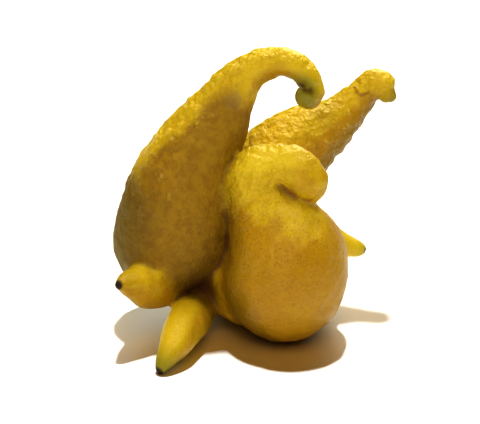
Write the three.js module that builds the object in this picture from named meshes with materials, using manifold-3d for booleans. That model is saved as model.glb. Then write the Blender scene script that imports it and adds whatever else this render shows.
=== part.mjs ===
// A Buddha's hand citron: one fruit whose palm splits into three large hooked fingers and three
// small pointed ones. It grew as one piece, so it is one solid. It rests on its front finger's lobe,
// its palm and the tip of its foot finger, and its stem points away behind.
// Millimetres, +Z up, -Y the side that shows all the fingers, origin under the middle of its box.

import * as THREE from "three";
import { MarchingCubes } from "three/addons/objects/MarchingCubes.js";
import { SimplifyModifier } from "three/addons/modifiers/SimplifyModifier.js";
import { ImprovedNoise } from "three/addons/math/ImprovedNoise.js";
import { mergeVertices } from "three/addons/utils/BufferGeometryUtils.js";
import Module from "manifold-3d";

const wasm = await Module();
wasm.setup();

// Each limb is a row of balls [x, y, z, radius] from its root to its tip, on a smooth curve.
// melt is the width of the fillet that it makes with the limbs before it.
const limbs = [
  {
    name: "palm", melt: 0, steps: 10,
    balls: [[-13, 10, 33, 17.5], [-8, 14, 23.6, 23.4], [-9, 25, 24, 20], [-11, 36, 22.5, 11.5]],
  },
  {
    name: "tall finger", melt: 5, steps: 36,
    balls: [
      [-35.5, 0, 34.8, 22.8], [-34.2, 0, 39.4, 23.7], [-31, 0.5, 49.9, 23.6], [-27.3, 1.5, 64.3, 19.7],
      [-20.5, 2, 78.4, 15.5], [-14, 2, 89.7, 11.6], [-8.6, 1, 98.8, 9.1], [-1.6, 1, 105.1, 7.1],
      [6.8, -1, 108.7, 5.9], [14.8, -3, 107.5, 5.3], [19.4, -4, 103.5, 4.8],
    ],
  },
  {
    name: "tall finger's hook", melt: 2, steps: 10,
    balls: [
      [19.4, -4, 103.5, 4.8], [21, -5, 98.8, 4.4], [19.7, -7, 96, 4.2], [17.3, -9.5, 96.6, 3.9],
      [16.3, -11, 98.7, 3],
    ],
  },
  { name: "back lobe", melt: 6, steps: 2, balls: [[10.5, 10, 26.1, 23], [12.2, 9, 26.1, 23.6]] },
  {
    name: "back finger", melt: 3, steps: 20,
    balls: [
      [-0.8, 13, 45.5, 19.1], [6.2, 16, 58.8, 19], [19, 20, 71, 14.8], [28.4, 22, 76.8, 11.3],
      [36.6, 23, 83, 8.6], [42, 24, 88.2, 6.8],
    ],
  },
  {
    name: "back finger's knob", melt: 2, steps: 10,
    balls: [[42.8, 24, 89.4, 6.2], [45.5, 24, 93.2, 6.1], [50.8, 23, 94.4, 5.9], [53.5, 21, 90.1, 3.6]],
  },
  { name: "heel", melt: 3, steps: 2, balls: [[-3, -5, 18.6, 17.6], [6, -10, 22, 20.5]] },
  {
    name: "front finger", melt: 3, steps: 26,
    balls: [
      [10.5, -16, 24, 24], [12.3, -16.5, 32, 23.6], [8.7, -14.5, 40.9, 19.7], [4, -13, 49.1, 15.5],
      [-0.6, -12, 56.2, 11.9], [-1.6, -11, 62.7, 11.1], [1.5, -11, 68, 10],
    ],
  },
  {
    name: "front finger's curl", melt: 3, steps: 12,
    balls: [[1.1, -11, 68, 10], [7.8, -12.5, 71.3, 8.1], [14.7, -14, 69.6, 8.6], [19.1, -15.5, 65.2, 8]],
  },
  {
    name: "left finger", melt: 3, steps: 14,
    balls: [
      [-38, -11, 21, 9.2], [-42.3, -17, 21.7, 9.1], [-43.6, -20, 23.8, 8.8], [-48.7, -27, 27.8, 5.6],
      [-51.8, -32, 29.5, 3.1], [-53.2, -34, 29.9, 1.9],
    ],
  },
  {
    name: "foot finger", melt: 2.5, steps: 20,
    balls: [
      [-16, 4, 14, 7], [-21, -8, 11, 6.5], [-25.8, -16.5, 9.6, 8.2], [-26.8, -21.5, 9.8, 8.3],
      [-28.4, -29.5, 10.2, 8], [-31.4, -39.5, 8.7, 6.5], [-34.5, -46.5, 6.4, 4.3], [-36.5, -49.5, 3.1, 2.4],
      [-36.9, -50, 1.7, 1.7],
    ],
  },
  {
    name: "right finger", melt: 2, steps: 12,
    balls: [
      [28.3, 9, 31.5, 6.2], [33.7, 9, 29.7, 5.4], [37.6, 9, 28.7, 4.4], [40.7, 9, 28, 3.7],
      [42.6, 9, 27.5, 2.9], [43.5, 9, 27.2, 1.9],
    ],
  },
];

// Relief of the rind: how high it swells, and over what length.
const SWELL = { height: 0.7, length: 15 };
const LUMPS = { height: 0.45, length: 6.5 };
const RELIEF_MARGIN = 4;

// Furrows that run from the stem over the palm: full depth this far from the stem's axis.
const FURROWS = { count: 7, depth: 0.8, start: 5, reach: 30 };

const STUB = { radius: 2.1, foot: 2.6, length: 5, sides: 20 };
const CALYX = { radius: 4.6, lobeHeight: 0.8, lobes: 5, thickness: 1.6, bevel: 0.5, points: 30 };
const STEM_SUNK = 1.2;

// The height that the resting spots are worn flat to, above the lowest ball.
const SPOT_HEIGHT = 0.8;

const SEARCH_CUBE = 124;
const SEARCH_CENTRE = new THREE.Vector3(0, 0, 57);
const CELLS = 118;
const MOST_TRIANGLES = 120000;
const VERTICES = 5100;
const SAME_POINT = 1e-3;

const noise = new ImprovedNoise();

// The limb's curve as short straight stretches, each with its radius and how much that grows.
function stretches({ balls, steps }) {
  const spine = new THREE.CatmullRomCurve3(balls.map(([x, y, z]) => new THREE.Vector3(x, y, z)));
  const girth = new THREE.CatmullRomCurve3(balls.map(([, , , radius]) => new THREE.Vector3(radius, 0, 0)));
  const centres = spine.getPoints(steps);
  const radii = girth.getPoints(steps).map((point) => point.x);
  return centres.slice(1).map((end, i) => ({
    line: new THREE.Line3(centres[i], end),
    radius: radii[i],
    growth: radii[i + 1] - radii[i],
  }));
}

const nearest = new THREE.Vector3();

function outsideLimb(parts, point) {
  let least = Infinity;
  for (const { line, radius, growth } of parts) {
    const along = line.closestPointToPointParameter(point, true);
    line.at(along, nearest);
    least = Math.min(least, nearest.distanceTo(point) - radius - along * growth);
  }
  return least;
}

// The smaller of two distances, eased where they differ by less than melt.
function eased(a, b, melt) {
  const closeness = melt > 0 ? Math.max(melt - Math.abs(a - b), 0) / melt : 0;
  return Math.min(a, b) - (closeness * closeness * melt) / 4;
}

function bumps(point, { height, length }) {
  return height * noise.noise(point.x / length, point.y / length, point.z / length);
}

// The stem carries on from the palm's last ball.
const [palmNeck, palmEnd] = limbs[0].balls.slice(-2).map(([x, y, z]) => new THREE.Vector3(x, y, z));
const stemAxis = palmEnd.clone().sub(palmNeck).normalize();
const stemBase = palmEnd.clone().addScaledVector(stemAxis, limbs[0].balls.at(-1)[3]);
const alongStem = new THREE.Quaternion().setFromUnitVectors(new THREE.Vector3(0, 0, 1), stemAxis);
const awayFromStem = alongStem.clone().invert();
const fromStem = new THREE.Vector3();

function furrows(point) {
  fromStem.copy(point).sub(stemBase).applyQuaternion(awayFromStem);
  const fading = Math.max(1 - fromStem.length() / FURROWS.reach, 0);
  const opening = Math.min(Math.hypot(fromStem.x, fromStem.y) / FURROWS.start, 1);
  return FURROWS.depth * fading * opening * Math.cos(FURROWS.count * Math.atan2(fromStem.y, fromStem.x));
}

const limbsInParts = limbs.map((limb) => ({ melt: limb.melt, parts: stretches(limb) }));

// How far a point is outside the fruit, below zero inside it.
function outsideFruit(point) {
  let smooth = Infinity;
  for (const { melt, parts } of limbsInParts) smooth = eased(smooth, outsideLimb(parts, point), melt);
  if (Math.abs(smooth) > RELIEF_MARGIN) return smooth;
  return smooth - bumps(point, SWELL) - bumps(point, LUMPS) - furrows(point);
}

// The rind, found with marching cubes and thinned to the vertices that it may have.
async function growRind() {
  const cubes = new MarchingCubes(CELLS, new THREE.MeshStandardMaterial(), false, false, MOST_TRIANGLES);
  cubes.isolation = 0;
  const point = new THREE.Vector3();
  for (let i = 0; i < cubes.field.length; i++) {
    point.set(i % CELLS, Math.floor(i / CELLS) % CELLS, Math.floor(i / CELLS / CELLS));
    point.subScalar(CELLS / 2).multiplyScalar(SEARCH_CUBE / CELLS).add(SEARCH_CENTRE);
    cubes.field[i] = -outsideFruit(point);
  }
  cubes.update();
  const found = new THREE.BufferGeometry()
    .setAttribute("position", new THREE.BufferAttribute(cubes.positionArray.slice(0, cubes.count * 3), 3))
    .scale(SEARCH_CUBE / 2, SEARCH_CUBE / 2, SEARCH_CUBE / 2)
    .translate(...SEARCH_CENTRE);
  const rind = mergeVertices(found, SAME_POINT);
  return new SimplifyModifier().modify(rind, rind.getAttribute("position").count - VERTICES);
}

// The dried calyx, a low star with round lobes.
function calyx() {
  const rim = Array.from({ length: CALYX.points }, (_, i) => {
    const angle = (2 * Math.PI * i) / CALYX.points;
    const radius = CALYX.radius + CALYX.lobeHeight * Math.cos(CALYX.lobes * angle);
    return new THREE.Vector2(radius * Math.cos(angle), radius * Math.sin(angle));
  });
  return new THREE.ExtrudeGeometry(new THREE.Shape(rim), {
    depth: CALYX.thickness + STEM_SUNK - CALYX.bevel,
    bevelThickness: CALYX.bevel,
    bevelSize: CALYX.bevel,
    bevelOffset: -CALYX.bevel,
    bevelSegments: 2,
  });
}

function stub() {
  const length = STUB.length + STEM_SUNK;
  return new THREE.CylinderGeometry(STUB.radius, STUB.foot, length, STUB.sides)
    .rotateX(Math.PI / 2)
    .translate(0, 0, length / 2);
}

function ontoStem(geometry) {
  return geometry
    .translate(0, 0, -STEM_SUNK)
    .applyQuaternion(alongStem)
    .translate(...stemBase);
}

function solid(geometry) {
  const bare = new THREE.BufferGeometry()
    .setAttribute("position", geometry.getAttribute("position"))
    .setIndex(geometry.index);
  const merged = mergeVertices(bare, SAME_POINT);
  return new wasm.Manifold(new wasm.Mesh({
    numProp: 3,
    vertProperties: new Float32Array(merged.getAttribute("position").array),
    triVerts: new Uint32Array(merged.index.array),
  }));
}

function groundUpTo(height) {
  return new THREE.BoxGeometry(SEARCH_CUBE, SEARCH_CUBE, SEARCH_CUBE)
    .translate(0, 0, height - SEARCH_CUBE / 2);
}

function skinOf(whole) {
  const { vertProperties, triVerts } = whole.getMesh();
  const skin = new THREE.BufferGeometry()
    .setAttribute("position", new THREE.BufferAttribute(vertProperties, 3))
    .setIndex(new THREE.BufferAttribute(triVerts, 1));
  skin.computeBoundingBox();
  const middle = skin.boundingBox.getCenter(new THREE.Vector3());
  return skin.translate(-middle.x, -middle.y, -skin.boundingBox.min.z);
}

const fruit = solid(await growRind())
  .add(solid(ontoStem(calyx())))
  .add(solid(ontoStem(stub())))
  .subtract(solid(groundUpTo(SPOT_HEIGHT)));

const rindFinish = new THREE.MeshStandardMaterial({ color: "#d3a51f", roughness: 0.45, metalness: 0 });
const citron = new THREE.Mesh(skinOf(fruit), rindFinish);
citron.name = "citron";

export default new THREE.Group().add(citron);
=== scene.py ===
"""A Buddha's hand citron: its pebbled rind, its dried stem end and a plain studio."""

import math

import bmesh
import bpy
import numpy as np
from bpy.props import FloatProperty, FloatVectorProperty, IntProperty, PointerProperty
from mathutils import Matrix, Vector, noise


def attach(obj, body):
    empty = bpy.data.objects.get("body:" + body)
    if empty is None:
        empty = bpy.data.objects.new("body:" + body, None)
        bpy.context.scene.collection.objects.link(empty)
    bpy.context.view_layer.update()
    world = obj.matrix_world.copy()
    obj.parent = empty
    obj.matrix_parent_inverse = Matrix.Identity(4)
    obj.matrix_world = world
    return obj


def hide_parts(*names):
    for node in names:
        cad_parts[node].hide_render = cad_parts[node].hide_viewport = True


bl_info = {
    "name": "Buddha's hand citron",
    "version": (1, 0, 0),
    "blender": (4, 5, 0),
    "location": "3D View > Sidebar > Citron",
    "description": "Dresses the citron's solid with rind, stem and stage",
    "category": "Object",
}

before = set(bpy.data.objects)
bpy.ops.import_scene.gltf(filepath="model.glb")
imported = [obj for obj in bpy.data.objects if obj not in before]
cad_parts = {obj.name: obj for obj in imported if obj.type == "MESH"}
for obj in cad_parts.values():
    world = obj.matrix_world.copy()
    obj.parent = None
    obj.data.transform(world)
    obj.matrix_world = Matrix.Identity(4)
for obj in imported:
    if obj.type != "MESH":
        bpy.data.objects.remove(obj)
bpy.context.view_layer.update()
MM = 0.001


def place(x, y, z):
    return Vector((x, y, z)) * MM


# Where things are on the fruit, in millimetres.
STEM_BASE = place(-12.1, 46.83, 20.17)
STEM_AXIS = Vector((-0.177, 0.975, -0.133)).normalized()
TALL_TIP = place(17.2, -11.4, 97.9)
HOOK_INSIDE = place(14.2, -14.4, 99.9)
BACK_TIP = place(54.4, 20.6, 89.3)
BEAK = place(57.4, 19.6, 86.3)
BEAK_UNDER = place(57.4, 18.6, 86.3)
LEFT_TIP = place(-53.0, -35.4, 29.5)
FOOT_TIP = place(-36.8, -51.2, 1.2)
RIGHT_TIP = place(45.7, 8.4, 26.2)
SCAR = place(-8.7, -8.9, 94.8)
FORK = place(-22.2, -12.0, 15.5)
BELLY = place(6.0, -38.0, 36.0)
NOTCH = [
    place(40.5, 19.1, 92.7),
    place(41.2, 17.8, 91.3),
    place(43.2, 17.2, 90.2),
    place(45.6, 17.5, 91.0),
]
HOOK_CREASE = [place(16.4, -6.2, 99.6), place(18.0, -12.3, 100.0), place(20.4, -10.5, 98.6)]
CROOK = [
    place(10.3, -19.5, 63.4),
    place(12.3, -19.6, 61.9),
    place(16.0, -20.6, 60.4),
    place(20.3, -21.1, 58.4),
]

# Each finger as balls [x, y, z, radius] from its root to its tip.
FINGERS = {
    "tall": (
        (-34.6, -0.4, 34.0, 22.8),
        (-30.0, 0.1, 49.1, 23.6),
        (-26.3, 1.1, 63.5, 19.7),
        (-19.5, 1.6, 77.6, 15.5),
        (-13.0, 1.6, 88.9, 11.6),
        (-7.6, 0.6, 98.0, 9.1),
        (-0.6, 0.6, 104.3, 7.1),
        (7.8, -1.4, 107.9, 5.9),
        (15.8, -3.4, 106.7, 5.3),
        (20.4, -4.4, 102.7, 4.8),
        (22.0, -5.4, 98.0, 4.4),
        (17.3, -11.4, 97.9, 3.0),
    ),
    "back": (
        (0.2, 12.6, 44.7, 19.1),
        (7.2, 15.6, 58.0, 19.0),
        (20.0, 19.6, 70.2, 14.8),
        (29.4, 21.6, 76.0, 11.3),
        (37.6, 22.6, 82.2, 8.6),
        (46.5, 23.6, 92.4, 6.1),
        (51.8, 22.6, 93.6, 5.9),
        (54.5, 20.6, 89.3, 3.6),
    ),
    "front": (
        (11.5, -16.4, 23.2, 24.0),
        (13.3, -16.9, 31.2, 23.6),
        (9.7, -14.9, 40.1, 19.7),
        (5.0, -13.4, 48.3, 15.5),
        (0.4, -12.4, 55.4, 11.9),
        (-0.6, -11.4, 61.9, 11.1),
        (2.4, -11.4, 67.2, 10.0),
        (8.8, -12.9, 70.5, 8.1),
        (15.7, -14.4, 68.8, 8.6),
        (20.1, -15.9, 64.4, 8.0),
    ),
    "left": (
        (-41.3, -17.4, 20.9, 9.1),
        (-42.6, -20.4, 23.0, 8.8),
        (-47.7, -27.4, 27.0, 5.6),
        (-52.2, -34.4, 29.1, 1.9),
    ),
    "foot": (
        (-24.8, -16.9, 8.8, 8.2),
        (-27.4, -29.9, 9.4, 8.0),
        (-30.4, -39.9, 7.9, 6.5),
        (-36.0, -50.4, 0.9, 1.7),
    ),
    "right": ((29.3, 8.6, 30.7, 6.2), (38.6, 8.6, 27.9, 4.4), (44.4, 8.6, 26.4, 1.9)),
    "palm": (
        (-12.0, 9.6, 32.2, 17.5),
        (-7.0, 13.6, 22.8, 23.4),
        (-8.0, 24.6, 23.2, 20.0),
        (-10.0, 35.6, 21.7, 11.5),
    ),
    "back lobe": ((10.5, 9.6, 25.3, 23.0), (13.2, 8.6, 25.3, 23.6)),
    "heel": ((-2.0, -5.4, 17.8, 17.6), (7.0, -10.4, 21.2, 20.5)),
}


def length(name, description, millimetres):
    return FloatProperty(
        name=name, description=description, default=millimetres * MM, unit="LENGTH", precision=5
    )


def colour(name, description, red, green, blue):
    return FloatVectorProperty(
        name=name, description=description, default=(red, green, blue), size=3, subtype="COLOR", min=0, max=1
    )


def number(name, description, default):
    return FloatProperty(name=name, description=description, default=default)


class CitronRindSettings(bpy.types.PropertyGroup):
    """Sizes and colours of the rind."""

    voxel: length("Mesh step", "Size of the quads that the rind is remeshed into", 0.74)
    smoothing: IntProperty(
        name="Smoothing", description="Rounds that ease the solid's facets", default=11, min=0
    )
    lump_height: length("Lump height", "How far the larger lumps stand out", 1.45)
    lump_length: length("Lump length", "Distance from lump to lump", 3.7)
    pebble_height: length("Pebble height", "How far the small pebbles stand out", 0.4)
    pebble_length: length("Pebble length", "Distance from pebble to pebble", 2.2)
    gland_spacing: length("Gland spacing", "Distance between oil glands", 1.0)
    gland_depth: length("Gland depth", "How deep the pit over each gland is", 0.12)
    yellow: colour("Yellow", "Ripe rind", 0.76, 0.56, 0.012)
    # Gold is riper rind on the belly and in patches, and also painted shade on the undersides and between the
    # lumps.
    gold_and_shade: colour("Gold", "Riper rind, on the front finger's belly and in patches", 0.52, 0.29, 0.006)
    # Browner rind that is also painted shade, on the tall finger's front and foot; its upper-left side, which
    # faces the lights, stays yellow.
    dull_and_shade: colour("Dull", "Browner rind on the tall finger's bulb", 0.315, 0.168, 0.004)
    gland: colour("Gland", "Dot over each oil gland", 0.27, 0.12, 0.004)
    green: colour("Green", "Unripe rind at the tips", 0.20, 0.21, 0.008)
    # Olive-tinted painted shade on the undersides, the tall finger's left edge and the hooks' insides.
    painted_olive_shade: colour("Olive", "Darker rind on the undersides and the tall finger's left edge", 0.13, 0.078, 0.002)
    nib: colour("Nib", "Dried style at the tips", 0.028, 0.011, 0.005)
    scar: colour("Scar", "Rubbed corky patch", 0.24, 0.15, 0.06)
    # Reddish seam under the back finger's knob, and also the painted shade in the front finger's crook.
    seam_and_crook_shade: colour("Notch", "Reddish seam under the back finger's knob", 0.22, 0.05, 0.006)
    # Dark brown painted shade down in the folds and hollows.
    crease_shade: colour("Crease", "Rind down in the folds", 0.085, 0.026, 0.002)
    # Painted highlight on the tops of the lumps.
    lump_highlight: colour("Pale", "Tops of the lumps", 0.88, 0.72, 0.11)
    # Yellowest rind on the small fingers, and painted light on the upward-facing neck, arch and knob.
    lemon_and_painted_light: colour("Lemon", "Yellowest rind, on the front finger's neck", 0.88, 0.69, 0.03)


class CitronStemSettings(bpy.types.PropertyGroup):
    """Sizes and colours of the dried stem end."""

    stub_radius: length("Stub radius", "Radius of the cut stem", 2.35)
    stub_length: length("Stub length", "How far the cut stem stands out", 5.05)
    calyx_radius: length("Calyx radius", "Radius of the calyx between its lobes", 3.9)
    calyx_lobe: length("Calyx lobe", "How far the calyx's lobes reach past that", 1.7)
    calyx_height: length("Calyx height", "Thickness of the calyx", 1.75)
    bark: colour("Bark", "Dried green-brown of the stem", 0.16, 0.12, 0.045)
    wood: colour("Wood", "Cut end of the stem", 0.42, 0.30, 0.15)


class CitronStageSettings(bpy.types.PropertyGroup):
    """The camera's place and the studio's lights."""

    distance: FloatProperty(
        name="Camera distance", description="Camera to fruit", default=0.45, unit="LENGTH"
    )
    elevation: FloatProperty(
        name="Elevation",
        description="Camera's angle above the floor",
        default=math.radians(20),
        subtype="ANGLE",
    )
    lens: number("Lens", "Focal length, in millimetres", 84.375)
    gamma: number("Gamma", "The camera's tone curve; lower is more contrast", 0.83)
    key: number("Key", "Strength of the light that casts the shadow", 4.4)
    behind: number("Behind", "Strength of the broad light behind the fruit", 2.4)
    glow: number("Glow", "Strength of the warm light in the shadow", 0.8)
    rim: number("Rim", "Strength of the lights on the fruit's upper side", 1.4)
    front: number("Front", "Strength of the light on the fruit's front", 1.2)
    fill: number("Fill", "Strength of the light all round", 0.02)


class Wire:
    """A number in a material. Arithmetic on it adds Math nodes."""

    def __init__(self, finish, socket):
        self.finish = finish
        self.socket = socket

    def math(self, operation, *others):
        sockets = {i: value for i, value in enumerate((self, *others))}
        node = self.finish.node("ShaderNodeMath", {"operation": operation}, sockets)
        return Wire(self.finish, node.outputs[0])

    def __add__(self, other):
        return self.math("ADD", other)

    def __sub__(self, other):
        return self.math("SUBTRACT", other)

    def __mul__(self, other):
        return self.math("MULTIPLY", other)

    __radd__ = __add__
    __rmul__ = __mul__

    def smooth(self, low, high):
        """0 below low and 1 above high, with eased ends; low may be the larger."""
        node = self.finish.node(
            "ShaderNodeMapRange",
            {"interpolation_type": "SMOOTHSTEP"},
            {"Value": self, "From Min": low, "From Max": high},
        )
        return Wire(self.finish, node.outputs["Result"])


class Finish:
    """A material being made."""

    def __init__(self, name):
        self.material = bpy.data.materials.new(name)
        self.material.use_nodes = True
        self.tree = self.material.node_tree
        self.tree.nodes.clear()
        self.place = self.node("ShaderNodeTexCoord", {}, {}).outputs["Object"]

    def node(self, kind, settings, sockets):
        made = self.tree.nodes.new(kind)
        for name, value in settings.items():
            setattr(made, name, value)
        for key, value in sockets.items():
            self.feed(made.inputs[key], value)
        return made

    def feed(self, socket, value):
        if isinstance(value, Wire):
            value = value.socket
        if isinstance(value, bpy.types.NodeSocket):
            self.tree.links.new(value, socket)
        elif socket.type == "RGBA" and len(value) == 3:
            socket.default_value = (*value, 1)
        else:
            socket.default_value = value

    def wire(self, socket):
        return Wire(self, socket)

    def noise(self, spacing, detail=2.0, roughness=0.5):
        sockets = {"Vector": self.place, "Scale": 1 / spacing, "Detail": detail, "Roughness": roughness}
        return self.wire(self.node("ShaderNodeTexNoise", {}, sockets).outputs["Fac"])

    def wandering(self, reach, grain):
        """The place in the piece, moved about by up to reach."""
        drift = self.node("ShaderNodeTexNoise", {}, {"Vector": self.place, "Scale": 1 / grain})
        moved = self.vector_maths("MULTIPLY_ADD", drift.outputs["Color"], (2 * reach,) * 3)
        moved.node.inputs[2].default_value = (-reach,) * 3
        return self.vector_maths("ADD", self.place, moved)

    def cells(self, spacing, place=None):
        """Distance from the nearest cell's middle, in spacings, and a number that is the cell's own."""
        sockets = {"Vector": place or self.place, "Scale": 1 / spacing, "Randomness": 0.85}
        made = self.node("ShaderNodeTexVoronoi", {}, sockets)
        own = self.node("ShaderNodeSeparateColor", {}, {"Color": made.outputs["Color"]})
        return self.wire(made.outputs["Distance"]), self.wire(own.outputs[0])

    def mix(self, amount, first, second):
        settings = {"data_type": "RGBA", "clamp_factor": True}
        made = self.node("ShaderNodeMix", settings, {"Factor": amount, 6: first, 7: second})
        return made.outputs[2]

    def near(self, point, radius, blur, ragged=0.0, grain=3 * MM):
        """1 within radius of a point, easing to 0 over blur, with an edge that wanders by ragged."""
        gap = self.node("ShaderNodeVectorMath", {"operation": "DISTANCE"}, {0: self.place, 1: point})
        wander = (self.noise(grain, 3.0) - 0.5) * (2 * ragged)
        return (self.wire(gap.outputs["Value"]) + wander).smooth(radius + blur, radius)

    def along(self, places, radius, blur, ragged=0.0, grain=3 * MM):
        """1 within radius of the line through some points, easing to 0 over blur, with a wandering edge."""
        nearest = None
        for start, end in zip(places, places[1:]):
            run = end - start
            gone = self.vector_maths("SUBTRACT", self.place, start)
            share = self.wire(self.vector_maths("DOT_PRODUCT", gone, run / run.length_squared, "Value"))
            share = share.math("MAXIMUM", 0.0).math("MINIMUM", 1.0)
            foot = self.vector_maths("SCALE", run, None, scale=share)
            gap = self.wire(self.vector_maths("DISTANCE", gone, foot, "Value"))
            nearest = nearest.math("MINIMUM", gap) if nearest else gap
        wander = (self.noise(grain, 3.0) - 0.5) * (2 * ragged)
        return (nearest + wander).smooth(radius + blur, radius)

    def vector_maths(self, operation, first, second, output="Vector", scale=None):
        sockets = {0: first}
        if second is not None:
            sockets[1] = second
        if scale is not None:
            sockets["Scale"] = scale
        return self.node("ShaderNodeVectorMath", {"operation": operation}, sockets).outputs[output]

    def attribute(self, name):
        return self.wire(self.node("ShaderNodeAttribute", {"attribute_name": name}, {}).outputs["Fac"])

    def shade(self, sockets, height=None):
        """Ends the material in a Principled shader with a bump of that height in metres."""
        if height is not None:
            bump = self.node("ShaderNodeBump", {}, {"Height": height, "Distance": 1.0, "Strength": 1.0})
            sockets = {**sockets, "Normal": bump.outputs["Normal"]}
        shader = self.node("ShaderNodeBsdfPrincipled", {}, sockets)
        self.node("ShaderNodeOutputMaterial", {}, {"Surface": shader.outputs["BSDF"]})
        return self.material


def rind_finish(look):
    finish = Finish("citron_rind")
    pebbly = finish.attribute("pebbly")
    fold_shade = finish.attribute("fold_shade")
    hollow_shade = finish.attribute("hollow_shade")
    dull_and_shade = finish.attribute("dull_and_shade")
    ripe_and_shade = finish.attribute("ripe_and_shade")
    crest = finish.attribute("crest")
    ripeness = finish.noise(16 * MM, 3.0).smooth(0.36, 0.66)
    mottle = finish.noise(3.4 * MM, 4.0, 0.6).smooth(0.35, 0.68)
    blotch = finish.noise(5 * MM, 3.0, 0.6) - 0.5
    gap, _ = finish.cells(look.pebble_length, finish.wandering(1.2 * MM, 3 * MM))
    pebble = gap.smooth(0.75, 0.05)
    ragged = (finish.noise(0.5 * MM, 2.0) - 0.5) * 0.7
    dots, dark = finish.cells(look.gland_spacing)
    dot = (dots + ragged).smooth(0.75, 0.15) * dark.smooth(0.0, 0.9)
    raised = (crest * 0.6 + pebble * 0.4) * pebbly
    # Riper rind, with painted shade on the undersides and on the sides turned away from the lights.
    riper_and_shaded = (ripe_and_shade + blotch * 0.9).smooth(0.1, 0.8) * 0.85 + ripeness * 0.15
    # Browner rind and painted shade on the tall finger's front and foot.
    browner = (dull_and_shade + blotch * 0.8).smooth(0.1, 0.85) * (0.8 + 0.2 * mottle)
    dotted = dot * finish.attribute("speckled") * (0.12 + 0.3 * mottle + 0.15 * dull_and_shade)
    notched = finish.along(NOTCH, 0.0, 1.3 * MM, 0.9 * MM, 1.5 * MM)
    skin = finish.mix(riper_and_shaded, look.yellow, look.gold_and_shade)
    skin = finish.mix(browner, skin, look.dull_and_shade)
    # Painted shade in the low ground between the lumps, and a painted highlight on their tops.
    skin = finish.mix((pebbly - raised).smooth(0.35, 0.95) * 0.35, skin, look.gold_and_shade)
    skin = finish.mix((raised - 0.5).smooth(0.0, 0.4) * 0.3, skin, look.lump_highlight)
    # Palest yellow, partly painted light on the upward-facing surfaces.
    skin = finish.mix((finish.attribute("lemon_and_painted_light") + blotch * 0.6).smooth(0.2, 0.8) * 0.8, skin, look.lemon_and_painted_light)
    skin = finish.mix(dotted, skin, look.gland)
    # Olive-tinted painted shade on the undersides and the tall finger's left edge.
    skin = finish.mix(finish.attribute("painted_olive_shade"), skin, look.painted_olive_shade)
    # Painted shade in the broad hollows between fingers and in the narrow folds.
    skin = finish.mix(hollow_shade * 0.5, skin, look.crease_shade)
    skin = finish.mix(fold_shade * 0.85, skin, look.crease_shade)
    skin = finish.mix(finish.attribute("green"), skin, look.green)
    skin = finish.mix(finish.near(SCAR, 1.6 * MM, 3.4 * MM, 3 * MM, 2.5 * MM) * 0.45, skin, look.scar)
    skin = finish.mix(notched * 0.6, skin, look.seam_and_crook_shade)
    # Painted shade in the crease of the tall finger's hook.
    skin = finish.mix(finish.along(HOOK_CREASE, 0.3 * MM, 2.4 * MM, 0.6 * MM) * 0.75, skin, look.crease_shade)
    # Painted shade in the crook under the front finger's curl.
    skin = finish.mix(finish.along(CROOK, 0.1 * MM, 1.9 * MM, 0.6 * MM) * 0.65, skin, look.seam_and_crook_shade)
    # Painted shadow at the fork, where the foot finger's root lies under the other fingers.
    skin = finish.mix(finish.near(FORK, 5 * MM, 9 * MM, 1 * MM) * 0.85, skin, look.crease_shade)
    skin = finish.mix(finish.attribute("nib"), skin, look.nib)
    pits = dots.smooth(0.0, 0.55) * look.gland_depth
    grit = finish.noise(0.6 * MM, 2.0) * (0.05 * MM) + finish.noise(1.9 * MM, 2.0) * (0.22 * MM)
    swell = pebble * pebbly * look.pebble_height
    roughness = 0.34 + 0.10 * mottle + 0.2 * dull_and_shade + 0.25 * fold_shade + 0.2 * finish.attribute("nib")
    sockets = {
        "Base Color": skin,
        "Roughness": roughness,
        "Specular IOR Level": 0.3,
        "Subsurface Weight": 0.10,
        "Subsurface Radius": (1.0, 0.45, 0.08),
        "Subsurface Scale": 2.0 * MM,
    }
    return finish.shade(sockets, pits + grit + swell)


def bark_finish(look):
    finish = Finish("citron_stem")
    grain = finish.noise(1.1 * MM, 5.0, 0.65).smooth(0.3, 0.7)
    flecks = finish.noise(0.5 * MM, 2.0).smooth(0.55, 0.75)
    end = finish.attribute("cut_end")
    bark = finish.mix(grain * 0.7, look.bark, (0.06, 0.045, 0.02))
    bark = finish.mix(flecks * 0.5, bark, (0.30, 0.24, 0.12))
    bark = finish.mix(end, bark, look.wood)
    height = grain * (0.35 * MM) + flecks * (0.1 * MM)
    return finish.shade({"Base Color": bark, "Roughness": 0.75 + 0.1 * grain}, height)


def floor_finish():
    finish = Finish("studio_floor")
    tone = finish.noise(0.4, 2.0)
    paint = finish.mix(tone, (0.79, 0.79, 0.79), (0.81, 0.81, 0.81))
    return finish.shade({"Base Color": paint, "Roughness": 0.3, "Specular IOR Level": 0.25})


def eased(value, low, high):
    """0 below low, 1 above high, with eased ends, on numbers or arrays; low may be the larger."""
    t = np.clip((value - low) / (high - low), 0, 1)
    return t * t * (3 - 2 * t)


def new_piece(name, mesh, material):
    piece = bpy.data.objects.new(name, mesh)
    bpy.context.scene.collection.objects.link(piece)
    piece.data.materials.clear()
    piece.data.materials.append(material)
    for polygon in mesh.polygons:
        polygon.use_smooth = True
    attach(piece, "root")
    return piece


def with_modifiers_applied(mesh, *modifiers):
    """The mesh as it is after modifiers, each given as its type and its settings."""
    carrier = bpy.data.objects.new("carrier", mesh)
    bpy.context.scene.collection.objects.link(carrier)
    for kind, settings in modifiers:
        modifier = carrier.modifiers.new(kind, kind)
        for name, value in settings.items():
            setattr(modifier, name, value)
    graph = bpy.context.evaluated_depsgraph_get()
    made = bpy.data.meshes.new_from_object(carrier.evaluated_get(graph))
    bpy.data.objects.remove(carrier)
    return made


def positions(mesh):
    flat = np.empty(len(mesh.vertices) * 3)
    mesh.vertices.foreach_get("co", flat)
    return flat.reshape(-1, 3)


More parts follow.
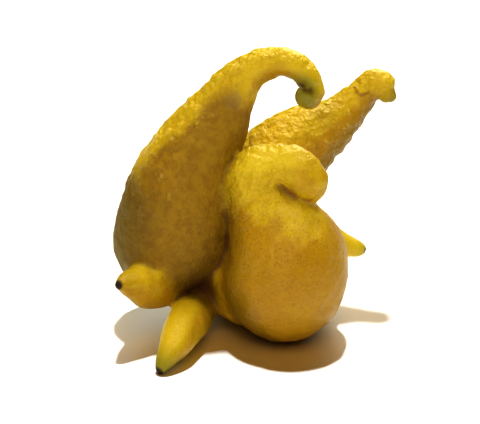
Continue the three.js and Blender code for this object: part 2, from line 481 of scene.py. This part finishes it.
def normals(mesh):
    flat = np.empty(len(mesh.vertices) * 3)
    mesh.vertex_normals.foreach_get("vector", flat)
    return flat.reshape(-1, 3)


def neighbour_mean(mesh, values, rounds):
    """The rows of values after each has become its neighbours' mean, that many times."""
    edges = np.empty(len(mesh.edges) * 2, np.int64)
    mesh.edges.foreach_get("vertices", edges)
    a, b = edges.reshape(-1, 2).T
    size = len(values)
    count = np.bincount(a, minlength=size) + np.bincount(b, minlength=size)
    for _ in range(rounds):
        total = [np.bincount(a, column[b], size) + np.bincount(b, column[a], size) for column in values.T]
        values = np.stack(total, 1) / count[:, None]
    return values


def blurred(mesh, values, rounds):
    return neighbour_mean(mesh, values[:, None], rounds)[:, 0]


def sunk(mesh, rounds, least, most):
    """1 down in the folds between fingers, 0 elsewhere: where the eased surface lies outside by most."""
    points = positions(mesh)
    outward = ((neighbour_mean(mesh, points, rounds) - points) * normals(mesh)).sum(1)
    return eased(outward, least * MM, most * MM)


def pebbly_parts(points, facing, fingers):
    """1 on the knobbly upper fingers, less on the smooth lobes and the small fingers."""
    z = points[:, 2] / MM
    tall, along_tall = fingers["tall"]
    front, along_front = fingers["front"]
    upper_side = eased(facing @ (-0.75, 0, 0.66), -0.1, 0.5) * eased(z, 42, 64)
    on_tall = np.maximum(upper_side, 0.6 * eased(along_tall, 0.25, 0.45))
    on_front = 0.8 * eased(along_front, 0.15, 0.4) * eased(along_front, 1.1, 0.75) + 0.2
    on_back = 0.95 * eased(z, 50, 64)
    rest = 0.45 * (fingers["palm"][0] + fingers["heel"][0] + fingers["back lobe"][0])
    large = tall * (0.28 + 0.72 * on_tall) + front * on_front + fingers["back"][0] * on_back
    return np.clip(large + rest, 0, 1)


def away(points, place):
    return np.linalg.norm(points - np.array(place), axis=1)


def green_parts(points):
    """1 on the unripe tips, a little on the fruit's left side."""
    tall = eased(away(points, TALL_TIP), 10 * MM, 4 * MM) * 0.75
    back = eased(away(points, BEAK), 9 * MM, 2 * MM) * 0.4
    foot = eased(away(points, FOOT_TIP), 13 * MM, 2 * MM) * 0.75
    right = eased(away(points, RIGHT_TIP), 7 * MM, 1 * MM) * 0.4
    left_side = eased(points[:, 0], -40 * MM, -60 * MM) * 0.25
    return np.clip(np.max([tall, back, foot, right, left_side], axis=0), 0, 1)


def along_finger(points, balls):
    """How far each point is outside a finger, in millimetres, and its share of the way to the tip."""
    balls = np.array(balls)
    outside = np.full(len(points), np.inf)
    share = np.zeros(len(points))
    for i, (start, end) in enumerate(zip(balls, balls[1:])):
        run = end[:3] - start[:3]
        gone = np.clip((points - start[:3]) @ run / (run @ run), 0, 1)
        radius = start[3] + gone * (end[3] - start[3])
        gap = np.linalg.norm(points - start[:3] - gone[:, None] * run, axis=1) - radius
        share = np.where(gap < outside, (i + gone) / (len(balls) - 1), share)
        outside = np.minimum(outside, gap)
    return outside, share


def fingers_of(points):
    """How much each point belongs to each finger, 0 to 1, and its share of the way along that finger."""
    places = {name: along_finger(points / MM, balls) for name, balls in FINGERS.items()}
    pull = {name: np.exp(-np.clip(outside, -4, 8) / 0.6) for name, (outside, _) in places.items()}
    total = sum(pull.values())
    return {name: (pull[name] / total, share) for name, (_, share) in places.items()}


def dull_and_shade_parts(points, facing, fingers):
    """1 on the front and the foot of the tall finger, 0 on its upper side, its arch and the other fingers:
    browner rind and painted shade, kept off the upper-left side that faces the lights.
    """
    own, share = fingers["tall"]
    z = points[:, 2] / MM
    # The upper-left side that faces the lights is kept free of the painted shade.
    lit = eased(facing @ (-0.8, 0, 0.6) + 0.3 * eased(z, 70, 96), 0.7, 1.0) * eased(z, 56, 70)
    return own * (1 - lit) * eased(share, 0.52, 0.36)


def ripe_and_shade_parts(points, facing, fingers):
    """1 on the most orange rind: the front finger's belly and part of the body, and painted shade on the
    undersides, the front finger's left side and the foot finger's right side.
    """
    front, along_front = fingers["front"]
    back, along_back = fingers["back"]
    left, along_left = fingers["left"]
    tall, along_tall = fingers["tall"]
    belly = eased(away(points, BELLY), 27 * MM, 12 * MM) * eased(facing[:, 2], 0.7, 0.35)
    # Painted shade on the front finger's left side by the tall finger, and on its underside.
    side = eased(-facing[:, 0], 0.2, 0.75) * eased(along_front, 0.55, 0.3)
    low = 0.6 * eased(-facing[:, 2], 0.25, 0.8)
    all_round = 0.85 * eased(along_front, 0.38, 0.2) * eased(facing[:, 2], 0.9, 0.5)
    curl = 0.5 * eased(along_front, 0.78, 0.92)
    on_front = front * np.max([belly, side, low, all_round, curl], axis=0)
    # Painted shade on the undersides of the back, left and tall fingers and on the foot finger's right side.
    on_back = back * eased(facing @ (0.6, -0.3, -0.7), -0.1, 0.45) * eased(along_back, 0.8, 0.66)
    on_left = left * np.maximum(0.4, np.maximum(eased(along_left, 0.55, 0.15), eased(-facing[:, 2], 0, 0.6)))
    on_foot = fingers["foot"][0] * eased(facing[:, 0], 0.3, 0.8)
    on_tall = 0.8 * tall * eased(along_tall, 0.42, 0.52) * eased(-facing[:, 2], -0.2, 0.5)
    body = 0.5 * (fingers["palm"][0] + fingers["back lobe"][0] + fingers["heel"][0])
    return np.clip(on_front + on_back + on_left + on_foot + on_tall + body, 0, 1)


def painted_olive_shade_parts(points, facing, fingers):
    """1 on the olive painted shade: the undersides, the tall finger's left edge and foot, and the hooks'
    insides.
    """
    tall, along_tall = fingers["tall"]
    back = fingers["back"][0]
    edge = 0.62 * eased(facing @ (-0.93, -0.3, -0.2), 0.3, 0.9) * eased(points[:, 2], 72 * MM, 56 * MM)
    foot = 0.65 * eased(-facing[:, 2], -0.1, 0.6) * eased(along_tall, 0.4, 0.2)
    arch = 0.35 * eased(-facing[:, 2], 0.0, 0.7) * eased(along_tall, 0.45, 0.6)
    hook = 0.7 * eased(away(points, HOOK_INSIDE), 6 * MM, 2 * MM)
    beak = 0.6 * eased(away(points, BEAK_UNDER), 8 * MM, 2 * MM)
    belly = 0.6 * fingers["front"][0] * eased(facing @ (-0.85, 0, -0.5), 0.3, 0.85)
    under = 0.55 * back * eased(facing @ (0.5, -0.2, -0.8), 0.15, 0.7)
    on_tall = tall * np.max([edge, foot, arch, hook], axis=0)
    return np.clip(on_tall + np.maximum(under, back * beak) + belly, 0, 1)


def lemon_and_painted_light_parts(points, facing, fingers):
    """1 on the palest yellow rind: the right and foot fingers, and painted light on the upward-facing front
    finger's neck, the arch and the back knob.
    """
    front, along_front = fingers["front"]
    back, along_back = fingers["back"]
    tall, along_tall = fingers["tall"]
    up = facing[:, 2]
    neck = front * eased(along_front, 0.45, 0.62) * eased(along_front, 1.0, 0.8) * eased(up, -0.1, 0.6)
    knob = 0.9 * back * eased(along_back, 0.78, 0.9) * eased(up, 0.0, 0.6)
    arch = 0.6 * tall * eased(along_tall, 0.45, 0.6) * eased(along_tall, 0.85, 0.75) * eased(up, 0.3, 0.9)
    return np.clip(neck + arch + knob + 0.9 * fingers["right"][0] + 0.4 * fingers["foot"][0], 0, 1)


def speckled_parts(points, fingers):
    """1 on the large lobes, less on the small fingers and the upper ones."""
    low = eased(points[:, 2], 66 * MM, 48 * MM)
    small = fingers["foot"][0] + fingers["left"][0] + fingers["right"][0]
    return (0.15 + 0.85 * low) * (1 - 0.85 * small)


def nib_parts(points):
    """1 on the dried style at the end of each small finger."""
    tips = ((LEFT_TIP, 2.3), (FOOT_TIP, 2.0), (RIGHT_TIP, 1.7))
    nibs = [eased(away(points, tip), size * 1.25 * MM, size * 0.85 * MM) for tip, size in tips]
    return np.max(nibs, axis=0)


def store(mesh, name, values):
    mesh.attributes.new(name, "FLOAT", "POINT").data.foreach_set("value", values.astype(np.float32))


def drift(spot):
    """A push that wanders smoothly from spot to spot, the same on every run."""
    steps = ((0, 0, 0), (31.7, 5.3, 17.1), (11.9, 43.1, 7.7))
    return Vector([noise.noise(spot + Vector(step)) for step in steps])


def relief(points, look):
    """How high each point of the rind is on its lumps: about 1 on a lump's top, 0 between lumps."""
    heights = np.empty(len(points))
    for i, point in enumerate(points):
        spot = Vector(point) / look.lump_length
        gap = noise.voronoi(spot + 0.7 * drift(spot * 0.8))[0][0]
        dome = (1 - 1.3 * gap * gap) * (0.8 + 0.5 * noise.noise(spot * 0.45))
        heights[i] = dome + 0.45 * noise.noise(spot * 1.9)
    return np.clip(heights, 0, 1)


class CITRON_OT_rind(bpy.types.Operator):
    """Makes the pebbled rind over the whole fruit, with green tips and dried nibs"""

    bl_idname = "citron.rind"
    bl_label = "Rind"

    # Rounds of easing a mask over its neighbours.
    BLUR = 16
    LUMP_BLUR = 2
    RIPE_AND_SHADE_BLUR = 24
    DULL_AND_SHADE_BLUR = 30
    LUMP_MIDDLE = 0.55

    def execute(self, context):
        look = context.scene.citron_rind
        shape = bmesh.new()
        shape.from_mesh(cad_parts["citron"].data)
        bmesh.ops.remove_doubles(shape, verts=shape.verts, dist=0.01 * MM)
        merged = bpy.data.meshes.new("merged")
        shape.to_mesh(merged)
        shape.free()
        mesh = with_modifiers_applied(
            merged,
            ("REMESH", {"mode": "VOXEL", "voxel_size": look.voxel}),
            ("SMOOTH", {"factor": 0.5, "iterations": look.smoothing}),
        )
        mesh.name = "citron_rind"
        points = positions(mesh)
        facing = normals(mesh)
        fingers = fingers_of(points)
        pebbly = blurred(mesh, pebbly_parts(points, facing, fingers), self.BLUR)
        lumps = blurred(mesh, relief(points, look), self.LUMP_BLUR)
        # Painted shade: darker in the narrow folds, weaker higher up, and in the broad hollows between
        # fingers.
        store(mesh, "fold_shade", sunk(mesh, 20, 0.2, 0.9) * (1 - 0.5 * eased(points[:, 2], 40 * MM, 60 * MM)))
        store(mesh, "hollow_shade", sunk(mesh, 160, 0.6, 3.2))
        # Browner rind and painted shade on the tall finger's front and foot.
        store(mesh, "dull_and_shade", blurred(mesh, dull_and_shade_parts(points, facing, fingers), self.DULL_AND_SHADE_BLUR))
        # Riper rind and painted shade on the undersides.
        store(mesh, "ripe_and_shade", blurred(mesh, ripe_and_shade_parts(points, facing, fingers), self.RIPE_AND_SHADE_BLUR))
        store(mesh, "speckled", blurred(mesh, speckled_parts(points, fingers), self.BLUR))
        store(mesh, "pebbly", pebbly)
        store(mesh, "crest", lumps)
        store(mesh, "green", green_parts(points))
        # Palest yellow, partly painted light on the upward-facing surfaces.
        store(mesh, "lemon_and_painted_light", blurred(mesh, lemon_and_painted_light_parts(points, facing, fingers), self.BLUR))
        # Olive-tinted painted shade on the undersides and the tall finger's left edge.
        store(mesh, "painted_olive_shade", blurred(mesh, painted_olive_shade_parts(points, facing, fingers), self.BLUR))
        store(mesh, "nib", nib_parts(points))
        resting = eased(points[:, 2], 0.2 * MM, 2 * MM)
        height = look.lump_height * (lumps - self.LUMP_MIDDLE) * (0.1 + 0.9 * pebbly) * resting
        raised = points + facing * height[:, None]
        raised[:, 2] = np.maximum(raised[:, 2], 0)
        mesh.vertices.foreach_set("co", raised.ravel())
        mesh.update()
        rind = new_piece("rind", mesh, rind_finish(look))
        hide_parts("citron")
        return {"FINISHED"}


class CITRON_OT_stem(bpy.types.Operator):
    """Makes the dried five-lobed calyx and the cut stub of stem behind the palm"""

    bl_idname = "citron.stem"
    bl_label = "Stem"

    LOBES = 5
    SUNK = 1.2 * MM

    def execute(self, context):
        look = context.scene.citron_stem
        shape = bmesh.new()
        self.add_calyx(shape, look)
        self.add_stub(shape, look)
        turn = Vector((0, 0, 1)).rotation_difference(STEM_AXIS).to_matrix().to_4x4()
        bmesh.ops.transform(shape, matrix=Matrix.Translation(STEM_BASE) @ turn, verts=shape.verts)
        mesh = bpy.data.meshes.new("citron_stem")
        shape.to_mesh(mesh)
        shape.free()
        axis = np.array(STEM_AXIS)
        from_base = positions(mesh) - np.array(STEM_BASE)
        reach = from_base @ axis
        radial = np.linalg.norm(from_base - reach[:, None] * axis, axis=1)
        cut = (reach > look.stub_length - 0.35 * MM) & (radial < look.stub_radius * 0.86)
        store(mesh, "cut_end", cut.astype(float))
        stem = new_piece("stem", mesh, bark_finish(look))
        bevel = stem.modifiers.new("edges", "BEVEL")
        bevel.width = 0.15 * MM
        bevel.segments = 2
        return {"FINISHED"}

    def add_calyx(self, shape, look):
        made = bmesh.ops.create_circle(shape, cap_ends=True, radius=look.calyx_radius, segments=60)
        for vert in made["verts"]:
            angle = math.atan2(vert.co.y, vert.co.x)
            lobe = (0.5 + 0.5 * math.cos(self.LOBES * angle)) ** 1.5
            vert.co *= 1 + look.calyx_lobe / look.calyx_radius * lobe
            vert.co.z = -self.SUNK
        rim = list({face for vert in made["verts"] for face in vert.link_faces})
        grown = bmesh.ops.extrude_face_region(shape, geom=rim)
        top = [item for item in grown["geom"] if isinstance(item, bmesh.types.BMVert)]
        bmesh.ops.translate(shape, verts=top, vec=(0, 0, look.calyx_height + self.SUNK))
        for vert in top:
            droop = (vert.co.xy.length - look.calyx_radius) / look.calyx_lobe
            vert.co.z -= 0.45 * look.calyx_height * max(droop, 0)
        bmesh.ops.recalc_face_normals(shape, faces=shape.faces)

    def add_stub(self, shape, look):
        depth = look.stub_length + self.SUNK
        place = Matrix.Translation((0, 0, depth / 2 - self.SUNK))
        made = bmesh.ops.create_cone(
            shape,
            cap_ends=True,
            segments=28,
            radius1=look.stub_radius * 1.25,
            radius2=look.stub_radius,
            depth=depth,
            matrix=place,
        )
        end = [face for face in shape.faces if face.calc_center_median().z > look.stub_length - 0.1 * MM]
        bmesh.ops.inset_region(shape, faces=end, thickness=look.stub_radius * 0.16, depth=-0.15 * MM)
        bmesh.ops.inset_region(shape, faces=end, thickness=look.stub_radius * 0.30, depth=-0.10 * MM)
        sides = {edge for vert in made["verts"] if vert.is_valid for edge in vert.link_edges}
        upright = [edge for edge in sides if abs(edge.verts[0].co.z - edge.verts[1].co.z) > depth / 2]
        bmesh.ops.subdivide_edges(shape, edges=upright, cuts=4)


class CITRON_OT_stage(bpy.types.Operator):
    """Sets a pale floor, soft studio lights and the camera"""

    bl_idname = "citron.stage"
    bl_label = "Stage"

    TARGET = place(-6.08, -3.33, 47.4)
    WARM = (1, 0.95, 0.8)

    def execute(self, context):
        look = context.scene.citron_stage
        floor = self.lay_floor()
        on_floor = self.gathered("lit floor", [floor])
        on_fruit = self.gathered("lit fruit", [bpy.data.objects["rind"], bpy.data.objects["stem"]])
        # Name, strength, degrees round from the front, up and across, tint, and what it lights.
        for light in (
            ("key", look.key, 178, 75.5, 3, (0.97, 1, 0.98), on_floor),
            ("behind", look.behind, 185, 22, 60, (0.97, 0.93, 0.78), on_floor),
            ("glow", look.glow, 10, 60, 40, (1, 0.5, 0.1), on_floor),
            ("rim high", look.rim * 1.1, 160, 52, 24, self.WARM, on_fruit),
            ("rim low", look.rim * 0.9, 162, 32, 24, self.WARM, on_fruit),
            ("top left", look.rim * 0.92, 210, 70, 24, self.WARM, on_fruit),
            ("top right", look.rim * 0.6, 80, 66, 24, self.WARM, on_fruit),
            ("top front", look.front * 0.35, 10, 70, 30, (1, 0.92, 0.7), on_fruit),
            ("front", look.front, 342, 32, 30, (1, 0.84, 0.52), on_fruit),
        ):
            self.add_sun(*light)
        self.add_sky(context.scene, look)
        self.set_camera(context.scene, look)
        return {"FINISHED"}

    def lay_floor(self):
        shape = bmesh.new()
        bmesh.ops.create_grid(shape, x_segments=1, y_segments=1, size=6)
        mesh = bpy.data.meshes.new("floor")
        shape.to_mesh(mesh)
        shape.free()
        floor = bpy.data.objects.new("floor", mesh)
        bpy.context.scene.collection.objects.link(floor)
        mesh.materials.append(floor_finish())
        return floor

    def gathered(self, name, pieces):
        """A collection of the pieces that a light shines on."""
        group = bpy.data.collections.new(name)
        for piece in pieces:
            group.objects.link(piece)
        return group

    def add_sun(self, name, strength, azimuth, elevation, softness, tint, lit):
        """A sun by its degrees round from the front to the right, above the floor, and across."""
        light = bpy.data.lights.new(name, "SUN")
        light.energy = strength
        light.color = tint
        light.angle = math.radians(softness)
        round_by = math.radians(azimuth)
        up_by = math.radians(elevation)
        level = Vector((math.sin(round_by), -math.cos(round_by), 0)) * math.cos(up_by)
        lamp = bpy.data.objects.new(name, light)
        lamp.rotation_euler = (level + Vector((0, 0, math.sin(up_by)))).to_track_quat("Z", "Y").to_euler()
        lamp.light_linking.receiver_collection = lit
        bpy.context.scene.collection.objects.link(lamp)

    def add_sky(self, scene, look):
        sky = bpy.data.worlds.new("studio")
        sky.use_nodes = True
        background = sky.node_tree.nodes["Background"]
        background.inputs["Color"].default_value = (1.0, 0.70, 0.35, 1)
        background.inputs["Strength"].default_value = look.fill
        scene.world = sky
        scene.view_settings.view_transform = "Standard"
        scene.view_settings.gamma = look.gamma

    def set_camera(self, scene, look):
        camera = bpy.data.cameras.new("camera")
        camera.lens = look.lens
        camera.sensor_width = 36
        camera.sensor_fit = "HORIZONTAL"
        camera.clip_start = 0.01
        holder = bpy.data.objects.new("camera", camera)
        away_from = Vector((0, -math.cos(look.elevation), math.sin(look.elevation)))
        holder.location = self.TARGET + away_from * look.distance
        holder.rotation_euler = away_from.to_track_quat("Z", "Y").to_euler()
        scene.collection.objects.link(holder)
        scene.camera = holder


class CITRON_PT_sidebar(bpy.types.Panel):
    """Shows the citron's operators and their settings"""

    bl_label = "Citron"
    bl_idname = "CITRON_PT_sidebar"
    bl_space_type = "VIEW_3D"
    bl_region_type = "UI"
    bl_category = "Citron"

    def draw(self, context):
        for operator in (CITRON_OT_rind, CITRON_OT_stem, CITRON_OT_stage):
            self.layout.operator(operator.bl_idname)
        for settings in (context.scene.citron_rind, context.scene.citron_stem, context.scene.citron_stage):
            box = self.layout.box()
            for name in settings.bl_rna.properties.keys()[2:]:
                box.prop(settings, name)


CLASSES = (
    CitronRindSettings,
    CitronStemSettings,
    CitronStageSettings,
    CITRON_OT_rind,
    CITRON_OT_stem,
    CITRON_OT_stage,
    CITRON_PT_sidebar,
)


def register():
    for made in CLASSES:
        bpy.utils.register_class(made)
    bpy.types.Scene.citron_rind = PointerProperty(type=CitronRindSettings)
    bpy.types.Scene.citron_stem = PointerProperty(type=CitronStemSettings)
    bpy.types.Scene.citron_stage = PointerProperty(type=CitronStageSettings)


def unregister():
    del bpy.types.Scene.citron_rind
    del bpy.types.Scene.citron_stem
    del bpy.types.Scene.citron_stage
    for made in reversed(CLASSES):
        bpy.utils.unregister_class(made)


def main():
    register()
    bpy.ops.citron.rind()
    bpy.ops.citron.stem()
    bpy.ops.citron.stage()
    bpy.context.view_layer.update()


if __name__ == "__main__":
    main()
